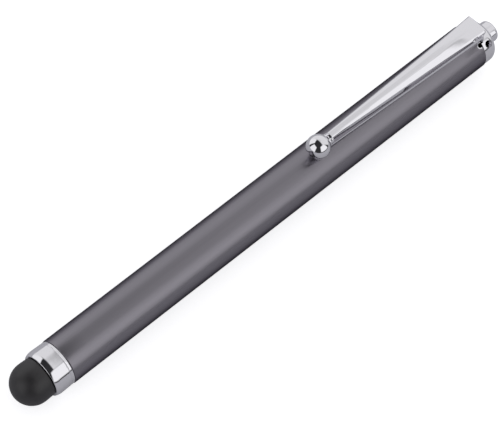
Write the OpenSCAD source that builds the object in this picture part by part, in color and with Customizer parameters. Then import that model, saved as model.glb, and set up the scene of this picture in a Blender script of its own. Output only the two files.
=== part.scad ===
// Touch-screen stylus pen with a hollow rubber tip, a plain tube barrel and a
// sprung pocket clip that ends in a ball.
// The pen lies along X with its tip at -X and its clip up at +Z. Sizes are in
// millimetres. Places along the pen are counted from the front edge of the
// barrel, and pen_frame() then centres the whole pen over the origin.

/* [Barrel] */
// Outside diameter of the tube
barrel_d = 9; // [8:0.1:12]
// Length of the tube
barrel_len = 101.9; // [85:0.1:125]
// Wall of the tube
barrel_wall = 0.5; // [0.4:0.05:0.7]
// Chamfer on the tube's outer edges
barrel_chamfer = 0.12; // [0.05:0.01:0.2]

/* [Rubber tip] */
// How far the dome's shoulder lies inside the ferrule's lip
dome_inset = 0.19; // [0.1:0.01:0.4]
// How far the dome swells out past its shoulder
dome_swell = 0.08; // [0:0.01:0.15]
// Reach of the rubber in front of the ferrule
dome_reach = 6; // [5:0.1:7]
// Thickness of the dome's rubber
dome_wall = 0.9; // [0.7:0.05:1.1]
// Thickness of the skirt that passes through the ferrule's throat
skirt_wall = 0.9; // [0.7:0.05:1.2]
// Length of the bead that holds the skirt in behind the throat
bead_len = 1.1; // [0.8:0.1:1.5]
// How far the bead stands out of the skirt all round
bead_step = 0.25; // [0.15:0.05:0.3]

/* [Ferrule] */
// How far the ferrule lies below the tube's surface
ferrule_inset = 0.02; // [0:0.01:0.15]
// Length of the ferrule that shows
ferrule_len = 4.08; // [3.5:0.02:6]
// How far the shoulder drops to the lip round the rubber
lip_drop = 0.41; // [0.2:0.01:0.5]
// Length of the rounded shoulder behind the lip
ferrule_shoulder = 1.08; // [0.7:0.02:1.6]
// Length of the spigot inside the tube
spigot_len = 7; // [5:0.5:12]
// Wall of the spigot round the rubber's bead
spigot_wall = 0.43; // [0.3:0.01:0.6]
// Length of the throat that holds the skirt
throat_len = 2.8; // [2.2:0.1:3.2]

/* [Clip] */
// From the clip's end wall to the middle of its ball
clip_len = 41.2; // [34:0.1:48]
// Width of the clip at its square end
clip_root_w = 4.5; // [3.6:0.1:5.2]
// Width of the clip behind its ball
clip_front_w = 1.5; // [1.4:0.1:2.2]
// Height of the clip's top face over the tube
clip_rise = 3.55; // [2.8:0.05:4.2]
// Thickness of the clip's sheet metal
clip_t = 0.42; // [0.3:0.02:0.5]
// Outside radius of the clip's long folds
clip_fold_r = 0.5; // [0.3:0.05:0.6]
// Outside radius of the bend at the clip's root
clip_bend_r = 1.4; // [0.8:0.1:1.6]
// Gap between the clip's side flanges and the tube's crown
flange_gap = 0.5; // [0.3:0.05:0.8]
// Diameter of the ball
ball_d = 4.64; // [4:0.02:5.4]

/* [End cap and knob] */
// How far the end cap lies below the tube's surface
cap_inset = 0.1; // [0:0.01:0.15]
// Wall of the end cap round the clip's eye
cap_wall = 0.58; // [0.5:0.01:0.8]
// Length of the end cap
cap_len = 3.4; // [3.3:0.1:6]
// Radius of the end cap's outer edge
cap_edge_r = 1.6; // [0.8:0.1:1.7]
// Diameter of the knob on the end cap
knob_d = 4.3; // [3.6:0.1:5]
// Length of the knob
knob_len = 2.6; // [1.8:0.1:4]
// Radius of the knob's outer edge
knob_edge_r = 0.7; // [0.3:0.1:0.9]
// Diameter of the stud that the knob clamps everything with
stud_d = 2.5; // [2.2:0.1:3]
// Diameter of the lanyard hole through the end cap
lanyard_d = 1.24; // [1:0.02:1.3]
// Angle of the lanyard hole round the pen, counted from the clip
lanyard_deg = 44; // [40:1:70]

/* [Hidden] */
$fn = 96;

// Clearance between pieces that are fixed to each other
seat = 0.02;
// Clearance between pieces that move on each other
run = 0.05;
// Overrun of every cut past the face that it opens
over = 0.5;

// Places along the pen, from the front edge of the tube
barrel_r = barrel_d / 2;
bore_r = barrel_r - barrel_wall;
lip_x = -ferrule_len;
shoulder_x = lip_x - run;
tip_x = lip_x - dome_reach;
cap_x = barrel_len;
cap_end_x = cap_x + cap_len;
knob_end_x = cap_end_x + knob_len;

// The clip's end wall stands this far behind the tube's rear edge
wall_set_back = 0.1;
wall_x = cap_x + wall_set_back;
root_x = wall_x + clip_t;
ball_x = root_x - clip_len;
ball_r = ball_d / 2;
ball_z = barrel_r + run + ball_r;
clip_top_z = barrel_r + clip_rise;
flange_low_z = barrel_r + flange_gap;
flex_z = flange_low_z + run;

// Moves the pen so that its box is centred over the origin and stands on z = 0
mid_x = (tip_x + knob_end_x) / 2;
module pen_frame() {
    translate([-mid_x, 0, barrel_r]) children();
}

// Turns a half outline, drawn as radius and place along the pen, into a solid
module turned() {
    rotate([0, 90, 0]) rotate_extrude() children();
}

// Half outline of a rod from z0 to z1 whose far edge is rounded
module rod_outline(r, z0, z1, edge) {
    e = min(edge, r / 2, (z1 - z0) / 2);
    translate([0, z0]) square([r, z1 - z0 - e]);
    translate([0, z0]) square([r - e, z1 - z0]);
    translate([r - e, z1 - e]) circle(r = e);
}

// Half outline of a plain rod from z0 to z1
module bar_outline(r, z0, z1) {
    translate([0, z0]) square([r, z1 - z0]);
}

// Half of a ball's outline in front of its middle at z
module nose_outline(r, z) {
    intersection() {
        translate([0, z]) circle(r = r);
        translate([0, z - r]) square([r, r]);
    }
}

// Rubber dome: hollow in front, with a skirt and a bead that lock it in the ferrule
ferrule_r = barrel_r - ferrule_inset;
lip_r = ferrule_r - lip_drop;
dome_shoulder_r = lip_r - dome_inset;
dome_r = dome_shoulder_r + dome_swell;
dome_mid_x = tip_x + dome_r;
chamber_r = bore_r - seat - spigot_wall;
bead_r = chamber_r - run;
skirt_r = bead_r - bead_step;
skirt_bore_r = skirt_r - skirt_wall;
throat_r = skirt_r + run;
throat_end_x = lip_x + throat_len;
bead_x = throat_end_x + run;
bead_end_x = bead_x + bead_len;
hollow_end_x = dome_mid_x + dome_wall;

module tip_dome() {
    color("#2c2c2f") pen_frame() turned() difference() {
        union() {
            nose_outline(dome_r, dome_mid_x);
            polygon([[0, dome_mid_x], [dome_r, dome_mid_x],
                     [dome_shoulder_r, shoulder_x], [0, shoulder_x]]);
            bar_outline(skirt_r, shoulder_x - run, bead_x + run);
            bar_outline(bead_r, bead_x, bead_end_x);
        }
        nose_outline(dome_r - dome_wall, dome_mid_x);
        bar_outline(dome_r - dome_wall, dome_mid_x - run, hollow_end_x);
        bar_outline(skirt_bore_r, dome_mid_x, bead_end_x + over);
    }
}

// Brass plug: its stem swells the skirt from inside and its head closes the ferrule
plug_head_x = bead_end_x + run;
plug_head_len = 2.6;
plug_nose_set_back = 0.5;

module tip_plug() {
    color("#b08d46") pen_frame() turned() {
        bar_outline(skirt_bore_r - run, lip_x + plug_nose_set_back, plug_head_x + over);
        rod_outline(chamber_r - seat, plug_head_x, plug_head_x + plug_head_len, barrel_chamfer);
    }
}

// Ferrule: bright turned collar with a rounded shoulder and a spigot in the tube
shoulder_r = (pow(ferrule_shoulder, 2) + pow(lip_drop, 2)) / (2 * lip_drop);
shoulder_end_x = lip_x + ferrule_shoulder;

module ferrule() {
    color("#d6d6da") pen_frame() turned() difference() {
        union() {
            intersection() {
                translate([ferrule_r - shoulder_r, shoulder_end_x]) circle(r = shoulder_r);
                translate([0, lip_x]) square([ferrule_r, ferrule_shoulder]);
            }
            rod_outline(ferrule_r, shoulder_end_x, -seat, barrel_chamfer);
            bar_outline(bore_r - seat, -over, spigot_len);
        }
        bar_outline(throat_r, lip_x - over, throat_end_x + over);
        bar_outline(chamber_r, throat_end_x, spigot_len + over);
    }
}

// Barrel: drawn tube, open at both ends, with its outer edges broken
module barrel() {
    c = barrel_chamfer;
    color("#6f6b74") pen_frame() turned()
        polygon([[bore_r, 0], [barrel_r - c, 0], [barrel_r, c],
                 [barrel_r, barrel_len - c], [barrel_r - c, barrel_len], [bore_r, barrel_len]]);
}

// Rear bush: brass plug pressed in the tube, bored for the knob's stud
bush_len = 9;
bush_end_x = wall_x - seat;
stud_hole_r = stud_d / 2 + seat;

module rear_bush() {
    color("#b08d46") pen_frame() turned() difference() {
        rod_outline(bore_r - seat, bush_end_x - bush_len, bush_end_x, barrel_chamfer);
        bar_outline(stud_hole_r, bush_end_x - bush_len - over, bush_end_x + over);
    }
}

// Clip eye: the clip's foot, a ring on the stud with a neck up through the cap's slot
eye_clear = 0.12;
cap_r = barrel_r - cap_inset;
recess_r = cap_r - cap_wall;
eye_r = recess_r - eye_clear;

module clip_eye() {
    color("#d6d6da") pen_frame() difference() {
        union() {
            translate([wall_x, 0, 0]) rotate([0, 90, 0]) cylinder(r = eye_r, h = clip_t);
            translate([wall_x, -clip_root_w / 2, 0]) cube([clip_t, clip_root_w, flange_low_z]);
        }
        translate([wall_x - over, 0, 0]) rotate([0, 90, 0])
            cylinder(r = stud_hole_r, h = clip_t + 2 * over);
    }
}

// Clip arm: folded channel, wide and square at the root, narrow behind the ball
neck_len = 1.7;
nose_x = ball_x + ball_r + neck_len;
nose_t = 1;
neck_r = 0.5;
collar_r = 1.25;
tenon_r = 0.6;
tenon_len = 1.4;
fold_centre_share = 0.94;

// Half width of the channel at a place along the pen
function channel_half(x) =
    (clip_front_w + (clip_root_w - clip_front_w) * (x - nose_x) / (root_x - nose_x)) / 2;

// Plan of the channel between two places, set in from its sides
module channel_plan(x0, x1, inset) {
    h0 = channel_half(x0) - inset;
    h1 = channel_half(x1) - inset;
    polygon([[x0, -h0], [x1, -h1], [x1, h1], [x0, h0]]);
}

// Cutter that rounds the long fold between the channel's top face and its +Y flange
module fold_cutter() {
    reach = root_x - nose_x;
    taper = atan((channel_half(root_x) - channel_half(nose_x)) / reach);
    c = fold_centre_share * clip_fold_r;
    translate([nose_x, channel_half(nose_x), 0]) rotate([90, 0, 90 + taper])
        translate([-c, clip_top_z - c, -over]) linear_extrude(reach + 3 * over)
            difference() {
                square(c + over);
                circle(r = clip_fold_r);
            }
}

// Cutter that rounds the bend between a top face at z and an end face at x
module bend_cutter(x, z, r) {
    c = fold_centre_share * r;
    translate([x - c, 0, z - c]) rotate([90, 0, 0])
        linear_extrude(barrel_d, center = true) difference() {
            square(c + over);
            circle(r = r);
        }
}

// Solid outside of the channel
module channel_outside() {
    difference() {
        translate([0, 0, flex_z]) linear_extrude(clip_top_z - flex_z)
            channel_plan(nose_x, root_x, 0);
        fold_cutter();
        mirror([0, 1, 0]) fold_cutter();
        bend_cutter(root_x, clip_top_z, clip_bend_r);
    }
}

// Hollow under the channel's top face, inside its flanges and its end wall
module channel_hollow() {
    difference() {
        translate([0, 0, flex_z - over]) linear_extrude(clip_top_z - clip_t - flex_z + over)
            channel_plan(nose_x + nose_t, wall_x, clip_t);
        bend_cutter(wall_x, clip_top_z - clip_t, clip_bend_r - clip_t);
    }
}

// Distance from the ball's middle to where a collar of the same axis meets its surface
collar_seat = sqrt(pow(ball_r, 2) - pow(collar_r, 2));

module clip_arm() {
    neck_x = nose_x + nose_t / 2 - ball_x;
    color("#d6d6da") pen_frame() {
        difference() {
            channel_outside();
            channel_hollow();
        }
        translate([ball_x, 0, ball_z]) turned() {
            difference() {
                polygon([[0, 0], [collar_r, 0], [collar_r, collar_seat],
                         [neck_r, neck_x], [0, neck_x]]);
                circle(r = ball_r + seat);
            }
            bar_outline(tenon_r, ball_r - tenon_len, ball_r + over);
        }
    }
}

// Clip ball: bored ball on the arm's tenon, just clear of the tube
module clip_ball() {
    color("#d6d6da") pen_frame() translate([ball_x, 0, ball_z]) difference() {
        sphere(r = ball_r);
        turned() bar_outline(tenon_r + seat, ball_r - tenon_len - seat, ball_r + over);
    }
}

// End cap: turned cup over the clip's eye, slotted for the clip and cross-drilled
recess_end_x = root_x + seat;
lanyard_r = lanyard_d / 2;
lanyard_web = 0.2;
lanyard_x = recess_end_x + lanyard_r + lanyard_web;

module lanyard_drill() {
    translate([lanyard_x, 0, 0]) rotate([lanyard_deg, 0, 0])
        cylinder(r = lanyard_r, h = 2 * barrel_d, center = true);
}

module end_cap() {
    slot_w = clip_root_w + 2 * eye_clear;
    color("#d6d6da") pen_frame() difference() {
        turned() rod_outline(cap_r, cap_x + seat, cap_end_x, cap_edge_r);
        turned() bar_outline(bore_r + eye_clear, cap_x - over, bush_end_x + seat);
        turned() bar_outline(recess_r, cap_x - over, recess_end_x);
        turned() bar_outline(stud_hole_r, cap_x - over, cap_end_x + over);
        translate([cap_x - over, -slot_w / 2, 0])
            cube([recess_end_x - cap_x + over, slot_w, barrel_d]);
        lanyard_drill();
    }
}

// End knob: button head whose stud clamps cap, clip and bush together
stud_short = 2;

module end_knob() {
    color("#d6d6da") pen_frame() difference() {
        turned() {
            rod_outline(knob_d / 2, cap_end_x + seat, knob_end_x, knob_edge_r);
            bar_outline(stud_d / 2, bush_end_x - bush_len + stud_short, cap_end_x + over);
        }
        lanyard_drill();
    }
}

tip_dome();
tip_plug();
ferrule();
barrel();
rear_bush();
clip_eye();
clip_arm();
clip_ball();
end_cap();
end_knob();
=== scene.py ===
import math

import bpy
from mathutils import Matrix, Vector


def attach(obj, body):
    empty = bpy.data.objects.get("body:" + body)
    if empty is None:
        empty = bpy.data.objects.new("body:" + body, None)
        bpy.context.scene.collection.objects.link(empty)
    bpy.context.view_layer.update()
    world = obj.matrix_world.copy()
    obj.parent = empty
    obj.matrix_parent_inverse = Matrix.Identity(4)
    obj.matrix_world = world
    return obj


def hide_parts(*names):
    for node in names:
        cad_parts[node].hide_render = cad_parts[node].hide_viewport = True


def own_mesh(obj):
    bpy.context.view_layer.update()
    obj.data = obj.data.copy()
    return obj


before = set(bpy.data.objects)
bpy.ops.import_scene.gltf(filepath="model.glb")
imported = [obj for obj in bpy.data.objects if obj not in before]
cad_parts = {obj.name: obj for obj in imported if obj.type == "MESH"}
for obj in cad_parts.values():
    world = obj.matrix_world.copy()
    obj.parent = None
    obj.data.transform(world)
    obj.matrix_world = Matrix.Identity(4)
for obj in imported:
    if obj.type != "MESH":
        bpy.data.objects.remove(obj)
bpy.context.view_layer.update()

# Rubber tip
# A hollow dome of soft conductive silicone, moulded in one piece with the skirt
# and bead that lock it in the ferrule. The dome flattens on the glass when it is
# pressed, and the gripped skirt behind it stays as it is.

# Sizes are in millimetres and angles in degrees. Places are counted along the
# pen from its middle and up from the table. MM turns millimetres to metres, and
# points closer than WELD are one. SHARP is the angle from which an edge is seen.
MM = 0.001
WELD = 0.0005 * MM
SHARP = 35
PEN_AXIS_Z = 4.5


def arc(place, radius, curve, start, end, steps):
    """Points (place along the pen, radius) on a round edge of radius curve, between two angles:
    0 points to the pen's end, 90 away from its axis and 180 to its tip."""
    turns = [math.radians(start + (end - start) * k / steps) for k in range(steps + 1)]
    return [(place + curve * math.cos(t), radius + curve * math.sin(t)) for t in turns]


def turned(name, outline, axis_z=PEN_AXIS_Z, sides=144, sharp=SHARP):
    """Turns a piece on the lathe: rings of the outline's radii, one behind the other along the
    pen. An outline that ends where it starts makes a hollow piece, and any other is closed at
    both ends."""
    bpy.ops.object.select_all(action="DESELECT")
    place, radius = outline[0]
    bpy.ops.mesh.primitive_circle_add(
        vertices=sides, radius=radius * MM, location=(place * MM, 0, axis_z * MM),
        rotation=(0, math.pi / 2, 0),
    )
    piece = bpy.context.object
    piece.name = piece.data.name = name
    bpy.ops.object.transform_apply(location=True, rotation=True, scale=True)
    bpy.ops.object.mode_set(mode="EDIT")
    for next_place, next_radius in outline[1:]:
        bpy.ops.mesh.extrude_region_move(
            TRANSFORM_OT_translate={"value": ((next_place - place) * MM, 0, 0)}
        )
        grow = next_radius / radius
        bpy.ops.transform.resize(
            value=(1, grow, grow), center_override=(next_place * MM, 0, axis_z * MM)
        )
        place, radius = next_place, next_radius
    bpy.ops.mesh.select_all(action="SELECT")
    bpy.ops.mesh.remove_doubles(threshold=WELD)
    if outline[0] != outline[-1]:
        bpy.ops.mesh.fill_holes(sides=0)
    bpy.ops.mesh.select_all(action="SELECT")
    bpy.ops.mesh.normals_make_consistent(inside=False)
    bpy.ops.object.mode_set(mode="OBJECT")
    bpy.ops.object.shade_smooth_by_angle(angle=math.radians(sharp))
    return piece


def linear(colour):
    """A colour written as sRGB hex, as the linear RGBA that Blender's sockets take."""
    parts = [int(colour[i : i + 2], 16) / 255 for i in (1, 3, 5)]
    return [c / 12.92 if c <= 0.04045 else ((c + 0.055) / 1.055) ** 2.4 for c in parts] + [1]


def add_node(tree, kind, values=(), links=(), **settings):
    """Adds a node with its settings, its socket values and its links from other nodes' sockets."""
    node = tree.nodes.new(kind)
    for key, value in settings.items():
        setattr(node, key, value)
    for key, value in dict(values).items():
        node.inputs[key].default_value = value
    for key, socket in dict(links).items():
        tree.links.new(socket, node.inputs[key])
    return node


def start_finish(name, **values):
    """An empty material with a surface shader: the material, its node tree and the shader."""
    finish = bpy.data.materials.new(name)
    finish.use_nodes = True
    tree = finish.node_tree
    tree.nodes.clear()
    surface = add_node(tree, "ShaderNodeBsdfPrincipled", values)
    add_node(tree, "ShaderNodeOutputMaterial", links={"Surface": surface.outputs["BSDF"]})
    return finish, tree, surface


def dress(piece, finish):
    """Gives a piece its finish."""
    piece.data.materials.clear()
    piece.data.materials.append(finish)


def fit(piece, body, finish, stands_for):
    """Puts a piece on its CAD body, with its finish, in place of the CAD node it stands for."""
    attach(piece, body)
    dress(piece, finish)
    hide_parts(stands_for)


# The dome's foot draws in a little, and its outline stops just short of the axis,
# where the hole is closed.
SHOULDER, SHOULDER_EDGE = -53.04, 0.16
DOME_R, DOME_MIDDLE, DOME_FOOT_R = 3.96, -55.03, 3.88
RUBBER_WALL, BORE_R = 0.9, 2.35
rubber_dome = turned("rubber_dome", [
    *arc(DOME_MIDDLE, 0, DOME_R, 179.4, 90, 36),
    (-54.4, 3.952), (-53.8, 3.925),
    *arc(SHOULDER - SHOULDER_EDGE, DOME_FOOT_R - SHOULDER_EDGE, SHOULDER_EDGE, 85, 0, 5),
    (SHOULDER, BORE_R),
    (DOME_MIDDLE + RUBBER_WALL, BORE_R),
    (DOME_MIDDLE + RUBBER_WALL, DOME_R - RUBBER_WALL),
    *arc(DOME_MIDDLE, 0, DOME_R - RUBBER_WALL, 90, 179, 14),
])
SKIRT_R, BEAD_R, BEAD, BEAD_END, BEAD_EDGE = 3.25, 3.5, -50.14, -49.04, 0.2
rubber_skirt = turned("rubber_skirt", [
    (SHOULDER, BORE_R), (SHOULDER, SKIRT_R), (BEAD, SKIRT_R),
    *arc(BEAD + BEAD_EDGE, BEAD_R - BEAD_EDGE, BEAD_EDGE, 180, 90, 4),
    *arc(BEAD_END - BEAD_EDGE, BEAD_R - BEAD_EDGE, BEAD_EDGE, 90, 0, 4),
    (BEAD_END, BORE_R), (SHOULDER, BORE_R),
])

# Silicone rubber, pressure-moulded in a blasted tool: dull black with a soft,
# wide highlight and a fine even grain. Its grit of 0.05 mm is drawn at 0.2 mm,
# as anything finer doesn't show.
CLOUD_SIZE, GRIT_SIZE, GRIT_DEPTH = 2.5, 0.2, 0.012
silicone, tree, surface = start_finish(
    "moulded_silicone_rubber", **{"IOR": 1.43, "Specular IOR Level": 0.85}
)
at = add_node(tree, "ShaderNodeTexCoord").outputs["Object"]
cloud = add_node(
    tree, "ShaderNodeTexNoise", {"Scale": 1 / (CLOUD_SIZE * MM), "Detail": 4}, {"Vector": at}
)
grit = add_node(
    tree, "ShaderNodeTexNoise", {"Scale": 1 / (GRIT_SIZE * MM), "Detail": 3}, {"Vector": at}
)
tone = add_node(tree, "ShaderNodeValToRGB", links={"Fac": cloud.outputs["Fac"]})
for stop, place, colour in zip(tone.color_ramp.elements, (0.35, 0.7), ("#1a181b", "#211f22")):
    stop.position, stop.color = place, linear(colour)
dull = add_node(
    tree, "ShaderNodeMapRange", {"To Min": 0.4, "To Max": 0.52}, {"Value": grit.outputs["Fac"]}
)
bump = add_node(
    tree, "ShaderNodeBump", {"Strength": 0.25, "Distance": GRIT_DEPTH * MM},
    {"Height": grit.outputs["Fac"]},
)
tree.links.new(tone.outputs["Color"], surface.inputs["Base Color"])
tree.links.new(dull.outputs["Result"], surface.inputs["Roughness"])
tree.links.new(bump.outputs["Normal"], surface.inputs["Normal"])

fit(rubber_dome, "pen", silicone, "tip_dome")
fit(rubber_skirt, "pen", silicone, "tip_dome")
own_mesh(rubber_dome)

# Brass plug and rear bush
# Two turned brass pieces inside the tube. The plug swells the rubber skirt from
# inside and keeps its CAD shape. The bush holds the thread of the knob's stud,
# and its outer end is turned down to a neck.
STUD_HOLE_R, BUSH_EDGE = 1.27, 0.12
BUSH_START, BUSH_NECK, BUSH_END, BUSH_R, NECK_R = 44.07, 51.9, 53.07, 3.98, 2.7
bush = turned("rear_bush_turned", [
    (BUSH_START, STUD_HOLE_R), (BUSH_START, BUSH_R - BUSH_EDGE), (BUSH_START + BUSH_EDGE, BUSH_R),
    (BUSH_NECK, BUSH_R), (BUSH_NECK, NECK_R), (BUSH_END - BUSH_EDGE, NECK_R),
    (BUSH_END, NECK_R - BUSH_EDGE), (BUSH_END, STUD_HOLE_R), (BUSH_START, STUD_HOLE_R),
], sides=96)

# Free-cutting brass, turned and left bare: warm yellow with fine turning lines
# across the axis. Their pitch of 0.12 mm is drawn as 0.754 mm, as anything finer
# doesn't show. At scale 1, Blender's bands run through 20 radians in a metre.
LATHE_PITCH, LATHE_DEPTH, TARNISH_SIZE = 0.754, 0.004, 1.5
BAND_RADIANS = 20
brass, tree, surface = start_finish("free_cutting_brass", **{"Metallic": 1.0})
at = add_node(tree, "ShaderNodeTexCoord").outputs["Object"]
lines = add_node(
    tree, "ShaderNodeTexWave",
    {"Scale": math.tau / (BAND_RADIANS * LATHE_PITCH * MM), "Distortion": 0.6, "Detail": 1},
    {"Vector": at}, wave_type="BANDS", bands_direction="X",
)
tarnish = add_node(
    tree, "ShaderNodeTexNoise", {"Scale": 1 / (TARNISH_SIZE * MM), "Detail": 3}, {"Vector": at}
)
tone = add_node(
    tree, "ShaderNodeMix",
    {6: linear("#b8954f"), 7: linear("#9c7a3c")}, {0: tarnish.outputs["Fac"]}, data_type="RGBA",
)
polish = add_node(
    tree, "ShaderNodeMapRange", {"To Min": 0.22, "To Max": 0.36}, {"Value": lines.outputs["Fac"]}
)
bump = add_node(
    tree, "ShaderNodeBump", {"Strength": 0.3, "Distance": LATHE_DEPTH * MM},
    {"Height": lines.outputs["Fac"]},
)
tree.links.new(tone.outputs[2], surface.inputs["Base Color"])
tree.links.new(polish.outputs["Result"], surface.inputs["Roughness"])
tree.links.new(bump.outputs["Normal"], surface.inputs["Normal"])
dress(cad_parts["tip_plug"], brass)
fit(bush, "pen", brass, "rear_bush")

# Ferrule
# The bright collar round the rubber: turned from brass, with a fine rolled lip,
# a rounded shoulder and a narrow groove near the tube. Its spigot is pressed
# into the tube.
LIP, LIP_R, LIP_CURVE, FERRULE_R = -52.99, 4.122, 0.15, 4.48
SHOULDER_END, SHOULDER_CURVE = -51.77, 3.0
MOUTH_R, MOUTH_EDGE = 3.3, 0.12
POCKET_R, POCKET_END = 3.55, -50.19
TUBE_FRONT, TUBE_BORE_R = -48.91, 4.0
PRESS_GAP, SPIGOT, SPIGOT_EDGE = 0.02, 7, 0.1
GROOVE, GROOVE_CURVE, GROOVE_EDGE = TUBE_FRONT - 0.66, 0.13, 0.07
REAR_CURVE = 0.14
ferrule = turned("ferrule_collar", [
    (LIP + MOUTH_EDGE, MOUTH_R), (LIP, MOUTH_R + MOUTH_EDGE), (LIP, 3.9),
    *arc(LIP + LIP_CURVE, LIP_R, LIP_CURVE, 180, 114, 8),
    *arc(SHOULDER_END, FERRULE_R - SHOULDER_CURVE, SHOULDER_CURVE, 112, 90, 16),
    (GROOVE - GROOVE_CURVE, FERRULE_R - GROOVE_EDGE),
    *arc(GROOVE, FERRULE_R, GROOVE_CURVE, 212, 328, 8),
    (GROOVE + GROOVE_CURVE, FERRULE_R - GROOVE_EDGE),
    *arc(TUBE_FRONT - PRESS_GAP - REAR_CURVE, FERRULE_R - 0.22, REAR_CURVE, 90, 0, 6),
    (TUBE_FRONT - PRESS_GAP, TUBE_BORE_R - PRESS_GAP),
    (TUBE_FRONT + SPIGOT - SPIGOT_EDGE, TUBE_BORE_R - PRESS_GAP),
    (TUBE_FRONT + SPIGOT, TUBE_BORE_R - PRESS_GAP - SPIGOT_EDGE), (TUBE_FRONT + SPIGOT, POCKET_R),
    (POCKET_END, POCKET_R), (POCKET_END, MOUTH_R), (LIP + MOUTH_EDGE, MOUTH_R),
])

# Bright chromium plate on polished brass: a near-white mirror with a cool cast.
# The polished ground below it is never quite flat, with faint waves 3 mm apart
# and hairlines along the pen from wiping.
WAVE_SIZE, WAVE_DEPTH, HAIR_WIDTH, HAIR_DRAW = 3, 0.03, 0.12, 0.02
chrome, tree, surface = start_finish(
    "bright_chromium_plate", **{"Metallic": 1.0, "Base Color": linear("#eeedf1")}
)
at = add_node(tree, "ShaderNodeTexCoord").outputs["Object"]
waves = add_node(
    tree, "ShaderNodeTexNoise", {"Scale": 1 / (WAVE_SIZE * MM), "Detail": 2}, {"Vector": at}
)
along = add_node(tree, "ShaderNodeMapping", {"Scale": (HAIR_DRAW, 1, 1)}, {"Vector": at})
hairs = add_node(
    tree, "ShaderNodeTexNoise", {"Scale": 1 / (HAIR_WIDTH * MM), "Detail": 3},
    {"Vector": along.outputs["Vector"]},
)
polish = add_node(
    tree, "ShaderNodeMapRange",
    {"From Min": 0.45, "From Max": 0.75, "To Min": 0.045, "To Max": 0.1},
    {"Value": hairs.outputs["Fac"]},
)
bump = add_node(
    tree, "ShaderNodeBump", {"Strength": 0.5, "Distance": WAVE_DEPTH * MM},
    {"Height": waves.outputs["Fac"]},
)
tree.links.new(polish.outputs["Result"], surface.inputs["Roughness"])
tree.links.new(bump.outputs["Normal"], surface.inputs["Normal"])
fit(ferrule, "pen", chrome, "ferrule")

# Barrel
# A drawn aluminium tube, cut to length with its outer edges broken, blasted
# fine and anodised. It holds everything else, and two relief holes are drilled in
# its rear edge, at the corners of the clip's slot.
BARREL_R, BARREL_LENGTH, TUBE_EDGE = 4.5, 101.9, 0.13
TUBE_REAR = TUBE_FRONT + BARREL_LENGTH
barrel = turned("barrel_tube", [
    (TUBE_FRONT, TUBE_BORE_R), (TUBE_FRONT, BARREL_R - TUBE_EDGE),
    *arc(TUBE_FRONT + TUBE_EDGE, BARREL_R - TUBE_EDGE, TUBE_EDGE, 165, 90, 5),
    *[(TUBE_FRONT + ring, BARREL_R) for ring in (5, 20, 40, 60, 80, 97)],
    *arc(TUBE_REAR - TUBE_EDGE, BARREL_R - TUBE_EDGE, TUBE_EDGE, 90, 15, 5),
    (TUBE_REAR, BARREL_R - TUBE_EDGE), (TUBE_REAR, TUBE_BORE_R), (TUBE_FRONT, TUBE_BORE_R),
])

# Gunmetal anodised aluminium, fine-blasted: a satin purple-grey sheen that
# runs along the tube, darker where it turns away. The blasting's pits of
# 0.06 mm are drawn at 0.18 mm, and faint draw lines run along the tube.
PIT_SIZE, PIT_DEPTH, DRAW_WIDTH, DRAW_STRETCH = 0.18, 0.006, 0.5, 0.01
anodised, tree, surface = start_finish(
    "gunmetal_anodised_aluminium", **{"Metallic": 1.0, "Specular Tint": linear("#3a373e")}
)
at = add_node(tree, "ShaderNodeTexCoord").outputs["Object"]
pits = add_node(
    tree, "ShaderNodeTexNoise", {"Scale": 1 / (PIT_SIZE * MM), "Detail": 2}, {"Vector": at}
)
along = add_node(tree, "ShaderNodeMapping", {"Scale": (DRAW_STRETCH, 1, 1)}, {"Vector": at})
drawn = add_node(
    tree, "ShaderNodeTexNoise", {"Scale": 1 / (DRAW_WIDTH * MM), "Detail": 4},
    {"Vector": along.outputs["Vector"]},
)
tone = add_node(
    tree, "ShaderNodeMix",
    {6: linear("#8d8a91"), 7: linear("#949198")}, {0: drawn.outputs["Fac"]}, data_type="RGBA",
)
satin = add_node(
    tree, "ShaderNodeMapRange", {"To Min": 0.3, "To Max": 0.38}, {"Value": pits.outputs["Fac"]}
)
bump = add_node(
    tree, "ShaderNodeBump", {"Strength": 0.12, "Distance": PIT_DEPTH * MM},
    {"Height": pits.outputs["Fac"]},
)
tree.links.new(tone.outputs[2], surface.inputs["Base Color"])
tree.links.new(satin.outputs["Result"], surface.inputs["Roughness"])
tree.links.new(bump.outputs["Normal"], surface.inputs["Normal"])
fit(barrel, "pen", anodised, "barrel")


def cut(piece, cutter):
    """Cuts the cutter's shape out of the piece, welds the cut's edges, and removes the cutter."""
    saw = piece.modifiers.new("cut", "BOOLEAN")
    saw.operation, saw.object, saw.solver = "DIFFERENCE", cutter, "EXACT"
    bpy.ops.object.select_all(action="DESELECT")
    bpy.context.view_layer.objects.active = piece
    piece.select_set(True)
    bpy.ops.object.modifier_apply(modifier="cut")
    bpy.data.objects.remove(cutter)
    bpy.ops.object.mode_set(mode="EDIT")
    bpy.ops.mesh.select_all(action="SELECT")
    bpy.ops.mesh.remove_doubles(threshold=WELD)
    bpy.ops.object.mode_set(mode="OBJECT")


def drill(place, turn, radius, length, wide=None, out=0, sides=48):
    """A drill that points at the pen's axis from a turn off the top, towards -Y. Its middle lies
    as far out from the axis as given, and its outer end may be wider."""
    turn = math.radians(turn)
    way = Vector((0, -math.sin(turn), math.cos(turn)))
    bpy.ops.object.select_all(action="DESELECT")
    bpy.ops.mesh.primitive_cone_add(
        vertices=sides, radius1=radius * MM, radius2=(wide or radius) * MM, depth=length * MM,
        location=(Vector((place, 0, PEN_AXIS_Z)) + out * way) * MM, rotation=(turn, 0, 0),
    )
    return bpy.context.object


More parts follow.
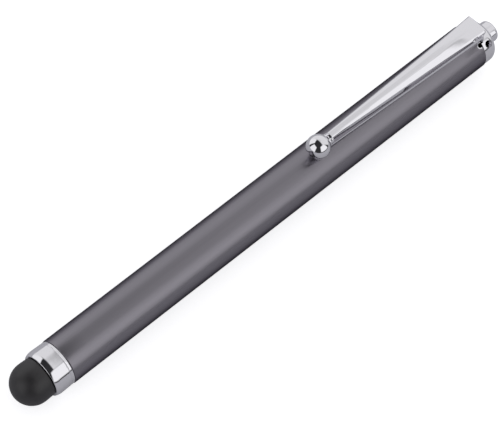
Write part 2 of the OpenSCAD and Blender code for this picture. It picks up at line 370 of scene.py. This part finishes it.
# The relief holes' countersinks are cut after the tube is anodised, and the
# chrome's finish stands for their bare bright metal.
RELIEF_X, RELIEF_TURN, RELIEF_R, SINK_DEEP = 52.6, 34, 0.47, 0.6
relief_hole = {"radius": RELIEF_R, "length": 2, "out": 4.2}
relief_sink = {
    "radius": RELIEF_R - 0.18, "wide": RELIEF_R + 0.9, "length": SINK_DEEP, "out": BARREL_R + 0.05
}
barrel.data.materials.append(chrome)
for turn in (RELIEF_TURN, -RELIEF_TURN):
    for size in (relief_hole, relief_sink):
        cutter = drill(RELIEF_X, turn, sides=44, **size)
        for face in cutter.data.polygons:
            face.material_index = 1
        cut(barrel, cutter)
bpy.ops.object.shade_smooth_by_angle(angle=math.radians(SHARP))

# Clip foot
# The clip's eye, a flat ring clamped on the knob's stud inside the end cap. It
# keeps its CAD shape, and only its neck shows through the cap's slot.
dress(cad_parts["clip_eye"], chrome)

# Clip arm
# A long springy channel of chromed steel sheet, wide over the end cap and narrow
# behind its ball. A flat strip runs down its middle between sloping shoulders,
# and its side flanges lean in a little over their foot.
NOSE, ROOT = 14.9, 53.51
HALF_AT_NOSE, HALF_AT_ROOT = 0.72, 2.25
ARM_LOW, ARM_TOP = 9.55, 12.8
SHEET, FLAT_HALF, ROOT_BEND = 0.42, 0.4, 0.35
FOLD_AT_NOSE, FOLD_AT_ROOT = 0.1, 0.18
SHOULDER_SLOPE, SLOPE_AT_ROOT, SLOPE_START = 0.68, 0.14, 0.03
BOW_START, BOW_DROP = 44, 0.5
LEAN_AT_NOSE, LEAN_AT_ROOT, LEAN_TALL = 0.13, 0.22, 0.48
SHEET_EDGE = 0.06
NEAR = 0.002


def slice_arm(place, across):
    """Adds edges all round the mesh where it is crossed by the plane through a place."""
    bpy.ops.mesh.select_all(action="SELECT")
    bpy.ops.mesh.bisect(plane_co=[part * MM for part in place], plane_no=across)


def select_where(test):
    """Selects the vertices whose place passes the test, and what lies between them."""
    bpy.ops.mesh.select_mode(type="VERT")
    bpy.ops.mesh.select_all(action="DESELECT")
    bpy.ops.object.mode_set(mode="OBJECT")
    for v in bpy.context.object.data.vertices:
        v.select = bool(test(*(v.co / MM)))
    bpy.ops.object.mode_set(mode="EDIT")


def along_arm(x, at_nose, at_root):
    """A size that grows evenly from the arm's nose to its root, at a place along the pen."""
    return at_nose + (at_root - at_nose) * (x - NOSE) / (ROOT - NOSE)


def drop(x, share):
    """How far the arm's top lies below its highest line, at a share of its half width: the slope
    of the shoulder, the bow near the root, the round of the fold, and the bend at the root."""
    half = along_arm(x, HALF_AT_NOSE, HALF_AT_ROOT)
    out = max(0, share * half - FLAT_HALF)
    near_root = max(0, (x - BOW_START) / (ROOT - BOW_START)) ** 2
    slope = SHOULDER_SLOPE - (SHOULDER_SLOPE - SLOPE_AT_ROOT) * near_root
    shoulder = slope * out * out / (out + SLOPE_START) + BOW_DROP * near_root
    fold = along_arm(x, FOLD_AT_NOSE, FOLD_AT_ROOT)
    round_off = min(1, max(0, share * half - half + fold) / fold)
    bend = min(1, max(0, x - ROOT + ROOT_BEND) / ROOT_BEND)
    return (
        shoulder + fold * (1 - math.sqrt(1 - round_off**2))
        + ROOT_BEND * (1 - math.sqrt(1 - bend**2))
    )


def lean(x, height):
    """How far a flange lies inside its foot, at a height over it."""
    most = along_arm(x, LEAN_AT_NOSE, LEAN_AT_ROOT)
    return most * math.sin(math.pi / 2 * height / LEAN_TALL)


bpy.ops.object.select_all(action="DESELECT")
bpy.ops.mesh.primitive_cube_add(
    size=1, location=((NOSE + ROOT) / 2 * MM, 0, (ARM_LOW + ARM_TOP) / 2 * MM),
    scale=((ROOT - NOSE) * MM, 2 * HALF_AT_ROOT * MM, (ARM_TOP - ARM_LOW) * MM),
)
arm = bpy.context.object
arm.name = arm.data.name = "clip_channel"
bpy.ops.object.transform_apply(location=True, rotation=True, scale=True)
bpy.ops.object.mode_set(mode="EDIT")
select_where(lambda x, y, z: x < NOSE + NEAR)
bpy.ops.transform.resize(
    value=(1, HALF_AT_NOSE / HALF_AT_ROOT, 1), center_override=(NOSE * MM, 0, ARM_LOW * MM)
)
select_where(lambda x, y, z: z < ARM_LOW + NEAR)
bpy.ops.mesh.delete(type="ONLY_FACE")

# New edges run along the arm at shares of its half width and at the crease of its
# flat strip, across it at stations, and round it at heights over the flange's foot.
taper = (HALF_AT_ROOT - HALF_AT_NOSE) / (ROOT - NOSE)
shares = [0, 0.2, 0.4, 0.55, 0.66, 0.76, 0.84, 0.89, 0.93, 0.96, 0.98, 0.993]
for share in shares + [-share for share in shares[1:]]:
    slice_arm((NOSE, share * HALF_AT_NOSE, 0), (-taper * share, 1, 0))
creases = [FLAT_HALF + step for step in (-0.03, 0, 0.03, 0.08)]
for crease in creases + [-crease for crease in creases]:
    slice_arm((0, crease, 0), (0, 1, 0))
stations = [NOSE, NOSE + 0.15, 20, 25, 30, 35, 40, 44, 46, 48, 50, 51.5, *[
    ROOT - ROOT_BEND * back for back in (1, 0.8, 0.62, 0.46, 0.33, 0.22, 0.13, 0.06, 0.02, 0)
]]
for station in stations[1:-1]:
    slice_arm((station, 0, 0), (1, 0, 0))
heights = [LEAN_TALL * quarter for quarter in (0.25, 0.5, 0.75, 1)]
for height in heights:
    slice_arm((0, 0, ARM_LOW + height), (0, 0, 1))

# The flanges lean in and the top takes its shape, first where the cuts cross it
# and then at the few points that the creases add.
for station in stations:
    half = along_arm(station, HALF_AT_NOSE, HALF_AT_ROOT)
    for height in heights:
        for side in (-1, 1):
            select_where(
                lambda x, y, z: abs(x - station) < NEAR and side * y > half - 5 * NEAR
                and abs(z - ARM_LOW - height) < NEAR
            )
            bpy.ops.transform.translate(value=(0, -side * lean(station, height) * MM, 0))
    for share in sorted({*shares, 1, *[crease / half for crease in creases]}):
        select_where(
            lambda x, y, z: z > ARM_TOP - NEAR / 2 and abs(x - station) < NEAR
            and abs(abs(y) - share * half) < NEAR
        )
        bpy.ops.transform.translate(value=(0, 0, -drop(station, share) * MM))
select_where(
    lambda x, y, z: z > ARM_TOP - NEAR / 2
    and drop(x, abs(y) / along_arm(x, HALF_AT_NOSE, HALF_AT_ROOT)) > NEAR
)
crossings = [v.index for v in arm.data.vertices if v.select]
for crossing in crossings:
    bpy.ops.mesh.select_all(action="DESELECT")
    bpy.ops.object.mode_set(mode="OBJECT")
    spot = arm.data.vertices[crossing]
    spot.select = True
    x, y, z = spot.co / MM
    bpy.ops.object.mode_set(mode="EDIT")
    bpy.ops.transform.translate(
        value=(0, 0, -drop(x, abs(y) / along_arm(x, HALF_AT_NOSE, HALF_AT_ROOT)) * MM)
    )
bpy.ops.mesh.select_all(action="SELECT")
bpy.ops.mesh.normals_make_consistent(inside=False)
bpy.ops.object.mode_set(mode="OBJECT")
wall = arm.modifiers.new("sheet", "SOLIDIFY")
wall.thickness, wall.offset, wall.use_even_offset = SHEET * MM, -1, True
edges = arm.modifiers.new("edges", "BEVEL")
edges.width, edges.segments, edges.limit_method = SHEET_EDGE * MM, 3, "ANGLE"
edges.angle_limit = math.radians(50)
bpy.ops.object.modifier_apply(modifier="sheet")
bpy.ops.object.modifier_apply(modifier="edges")
bpy.ops.object.shade_smooth_by_angle(angle=math.radians(30))

# Clip neck and ball
# The channel's nose runs into a short flared neck, and a turned steel ball is
# welded to the flare. The ball slides over a pocket's edge and rests just clear
# of the tube. Both are chromed with the arm.
BALL_X, BALL_Z, BALL_R = 12.31, 11.37, 2.32

# The neck's outline runs from inside the ball to inside the channel's nose.
neck = turned("clip_neck", [
    (BALL_X + 1.5, 1.0), (BALL_X + 1.86, 1.2), *arc(BALL_X + 2.1, 1.04, 0.2, 120, 60, 6),
    (BALL_X + 2.45, 1.17), (BALL_X + 2.75, 1.14), *arc(BALL_X + 2.85, 0.98, 0.16, 80, 0, 6),
], axis_z=BALL_Z, sides=64, sharp=60)
ball = turned("clip_ball_end", [
    *arc(BALL_X, 0, BALL_R, 179.3, 0.7, 72),
], axis_z=BALL_Z, sides=96, sharp=60)
fit(arm, "clip", chrome, "clip_arm")
fit(neck, "clip", chrome, "clip_arm")
fit(ball, "clip", chrome, "clip_ball")

# End cap
# A turned cup that closes the tube over the clip's foot, chromed. It is slotted
# on top for the clip, cross-drilled for a lanyard cord, and rounded at its end.
CAP_FRONT, CAP_END, CAP_R, CAP_EDGE = TUBE_REAR + 0.02, 56.39, 4.4, 1.6
RIM_EDGE, RIM_BORE_R, RIM_END = 0.1, 4.12, TUBE_REAR + 0.1
RECESS_END, RECESS_R = 53.53, 3.82
cap = turned("end_cap_cup", [
    (CAP_FRONT, RIM_BORE_R), (CAP_FRONT, CAP_R - RIM_EDGE),
    *arc(CAP_FRONT + RIM_EDGE, CAP_R - RIM_EDGE, RIM_EDGE, 180, 90, 4),
    *arc(CAP_END - CAP_EDGE, CAP_R - CAP_EDGE, CAP_EDGE, 90, 0, 22),
    (CAP_END, STUD_HOLE_R), (RECESS_END, STUD_HOLE_R), (RECESS_END, RECESS_R),
    (RIM_END, RECESS_R), (RIM_END, RIM_BORE_R), (CAP_FRONT, RIM_BORE_R),
])
SLOT_HALF, SLOT_TALL, RUN_OUT = 2.37, 9, 1
bpy.ops.object.select_all(action="DESELECT")
bpy.ops.mesh.primitive_cube_add(
    size=1,
    location=((CAP_FRONT + RECESS_END - RUN_OUT) / 2 * MM, 0, (PEN_AXIS_Z + SLOT_TALL / 2) * MM),
    scale=((RECESS_END - CAP_FRONT + RUN_OUT) * MM, 2 * SLOT_HALF * MM, SLOT_TALL * MM),
)
cut(cap, bpy.context.object)
HOLE_X, HOLE_TURN, HOLE_R, THROUGH = 54.35, 44, 0.62, 20
cut(cap, drill(HOLE_X, HOLE_TURN, HOLE_R, THROUGH))
cut(cap, drill(HOLE_X, HOLE_TURN, HOLE_R - 0.1, SINK_DEEP, HOLE_R + 0.2, CAP_R - 0.12))
bpy.ops.object.shade_smooth_by_angle(angle=math.radians(SHARP))
fit(cap, "pen", chrome, "end_cap")

# End knob
# A small button turned on the end of a threaded stud, which clamps the cap and
# the clip's foot to the bush. A low flange and a fine groove run round its base,
# and its end is a little dished.
KNOB_BASE, KNOB_END, KNOB_R, KNOB_EDGE = CAP_END + 0.02, 58.99, 2.15, 0.7
STUD_R, STUD_END, STUD_EDGE = 1.25, 46.07, 0.3
FLANGE_R, FLANGE_EDGE, FLANGE_END = 2.04, 0.1, KNOB_BASE + 0.32
UNDERCUT, UNDERCUT_END, UNDERCUT_R = KNOB_BASE + 0.48, KNOB_BASE + 0.58, 2.0
knob = turned("end_knob_button", [
    (STUD_END, STUD_R - STUD_EDGE), (STUD_END + STUD_EDGE, STUD_R),
    (KNOB_BASE, STUD_R), (KNOB_BASE, FLANGE_R),
    *arc(KNOB_BASE + FLANGE_EDGE, FLANGE_R, FLANGE_EDGE, 180, 90, 3),
    *arc(FLANGE_END, FLANGE_R, FLANGE_EDGE, 90, 20, 3),
    (UNDERCUT, UNDERCUT_R), (UNDERCUT_END, UNDERCUT_R), (UNDERCUT_END + 0.1, KNOB_R),
    *arc(KNOB_END - KNOB_EDGE, KNOB_R - KNOB_EDGE, KNOB_EDGE, 90, 0, 14),
    (KNOB_END - 0.03, 1.2), (KNOB_END - 0.07, 0.6), (KNOB_END - 0.08, 0.1),
], sides=96)
cut(knob, drill(HOLE_X, HOLE_TURN, HOLE_R, THROUGH))
bpy.ops.object.shade_smooth_by_angle(angle=math.radians(SHARP))
fit(knob, "pen", chrome, "end_knob")

# Floor
# A plain pale sheet of card that the pen lies on. It is lifted to white for the
# camera alone, so that the pen's soft shadow stays on it.
CARD_WIDTH, CARD_GAP = 6000, 0.01
CAMERA_LIFT = 0.72
bpy.ops.object.select_all(action="DESELECT")
bpy.ops.mesh.primitive_plane_add(size=CARD_WIDTH * MM, location=(0, 0, -CARD_GAP * MM))
floor = bpy.context.object
floor.name = "floor"
card = bpy.data.materials.new("white_card")
card.use_nodes = True
tree = card.node_tree
tree.nodes.clear()
ray = add_node(tree, "ShaderNodeLightPath")
matt = add_node(tree, "ShaderNodeBsdfDiffuse", {"Color": linear("#b2b2b6")})
lift = add_node(
    tree, "ShaderNodeEmission", {"Color": (1, 1, 1, 1)},
    {"Strength": add_node(
        tree, "ShaderNodeMath", {1: CAMERA_LIFT}, {0: ray.outputs["Is Camera Ray"]},
        operation="MULTIPLY",
    ).outputs[0]},
)
both = add_node(tree, "ShaderNodeAddShader", links={0: matt.outputs[0], 1: lift.outputs[0]})
add_node(tree, "ShaderNodeOutputMaterial", links={"Surface": both.outputs[0]})
floor.data.materials.append(card)

# Studio light
# The world is a small product studio: four large soft boxes round the pen, the
# brightest low on its right side, and a dark ceiling with the lens, which the
# ball mirrors as a dark star.
CEILING, FILL = (0.03, 0.03, 0.032, 1), (0.55, 0.55, 0.555, 1)
BLACK, WHITE = (0, 0, 0, 1), (1, 1, 1, 1)
world = bpy.data.worlds.new("soft_studio")
bpy.context.scene.world = world
world.use_nodes = True
tree = world.node_tree
tree.nodes.clear()
way = add_node(tree, "ShaderNodeTexCoord").outputs["Generated"]
shade = add_node(tree, "ShaderNodeRGB").outputs[0]
shade.default_value = CEILING


def edge_between(start, end):
    """The two upright edges of a soft box between two angles, from +X towards +Y."""
    low, high = math.radians(start), math.radians(end)
    return [(-math.sin(low), math.cos(low), 0), (math.sin(high), -math.cos(high), 0)]


def edge_below(turn, top):
    """The top edge of a soft box at an angle from +X, seen at the angle top over the table."""
    turn, top = math.radians(turn), math.radians(top)
    return [(math.cos(turn) * math.sin(top), math.sin(turn) * math.sin(top), -math.cos(top))]


# Each box has its level, how soft its edges are, and the planes that bound it.
for level, soft, box_edges in (
    (0.95, 0.05, edge_between(144, 197) + edge_below(165, 50)),
    (0.9, 0.05, edge_between(76, 128) + edge_below(104, 55)),
    (0.98, 0.07, edge_between(-112, -48) + edge_below(-81, 57) + [(0, 0.12, 1)]),
    (0.78, 0.1, [(0.48, 0.88, 0.36), (0.985, 0.174, 0), (0.965, 0, -0.26)]),
):
    share = None
    for box_edge in box_edges:
        inside = add_node(
            tree, "ShaderNodeVectorMath", {1: box_edge}, {0: way}, operation="DOT_PRODUCT"
        )
        step = add_node(
            tree, "ShaderNodeMapRange", {"From Min": -soft, "From Max": soft},
            {"Value": inside.outputs["Value"]}, interpolation_type="SMOOTHSTEP",
        ).outputs[0]
        share = step if share is None else add_node(
            tree, "ShaderNodeMath", links={0: share, 1: step}, operation="MULTIPLY"
        ).outputs[0]
    shade = add_node(
        tree, "ShaderNodeMix", {7: (level, level, level * 1.01, 1)}, {0: share, 6: shade},
        data_type="RGBA",
    ).outputs[2]

# High over the pen's far side it is a little darker.
places = add_node(tree, "ShaderNodeSeparateXYZ", links={0: way})
high = add_node(
    tree, "ShaderNodeMapRange", {"From Min": 0.76, "From Max": 0.87},
    {"Value": places.outputs["Z"]},
)
far = add_node(
    tree, "ShaderNodeMapRange",
    {"From Min": 0, "From Max": 0.25, "To Max": 0.16}, {"Value": places.outputs["Y"]},
)
fall = add_node(
    tree, "ShaderNodeMath", links={0: high.outputs[0], 1: far.outputs[0]}, operation="MULTIPLY"
)
shade = add_node(
    tree, "ShaderNodeMix", {7: BLACK}, {0: fall.outputs[0], 6: shade}, data_type="RGBA"
).outputs[2]

# Matt surfaces get an even fill on top, and the camera sees white.
ray = add_node(tree, "ShaderNodeLightPath")
fill = add_node(
    tree, "ShaderNodeMix", {6: BLACK, 7: FILL}, {0: ray.outputs["Is Diffuse Ray"]},
    data_type="RGBA",
)
shade = add_node(
    tree, "ShaderNodeMix", {0: 1.0}, {6: shade, 7: fill.outputs[2]},
    data_type="RGBA", blend_type="ADD",
).outputs[2]
seen = add_node(
    tree, "ShaderNodeMix", {7: WHITE}, {0: ray.outputs["Is Camera Ray"], 6: shade},
    data_type="RGBA",
)
glow = add_node(tree, "ShaderNodeBackground", links={"Color": seen.outputs[2]})
add_node(tree, "ShaderNodeOutputWorld", links={"Surface": glow.outputs[0]})

# Camera
# A long lens above the tip's side, looking down on the pen as the photograph
# does. Its place and directions were fitted to the pen's outline.
CAMERA_PLACE = Vector((-179.47, -134.63, 395.5))
RIGHT, UP = Vector((0.72912, -0.67784, 0.09445)), Vector((0.56082, 0.67085, 0.48522))
BACKWARD = Vector((-0.39226, -0.30081, 0.86928))
lens = bpy.data.cameras.new("camera")
lens.lens, lens.sensor_width = 180, 36
lens.clip_start, lens.clip_end = 0.01, 20
camera = bpy.data.objects.new("camera", lens)
bpy.context.scene.collection.objects.link(camera)
turned_to = Matrix((RIGHT, UP, BACKWARD)).transposed().to_4x4()
camera.matrix_world = Matrix.Translation(CAMERA_PLACE * MM) @ turned_to
bpy.context.scene.camera = camera
bpy.context.scene.view_settings.view_transform = "Standard"
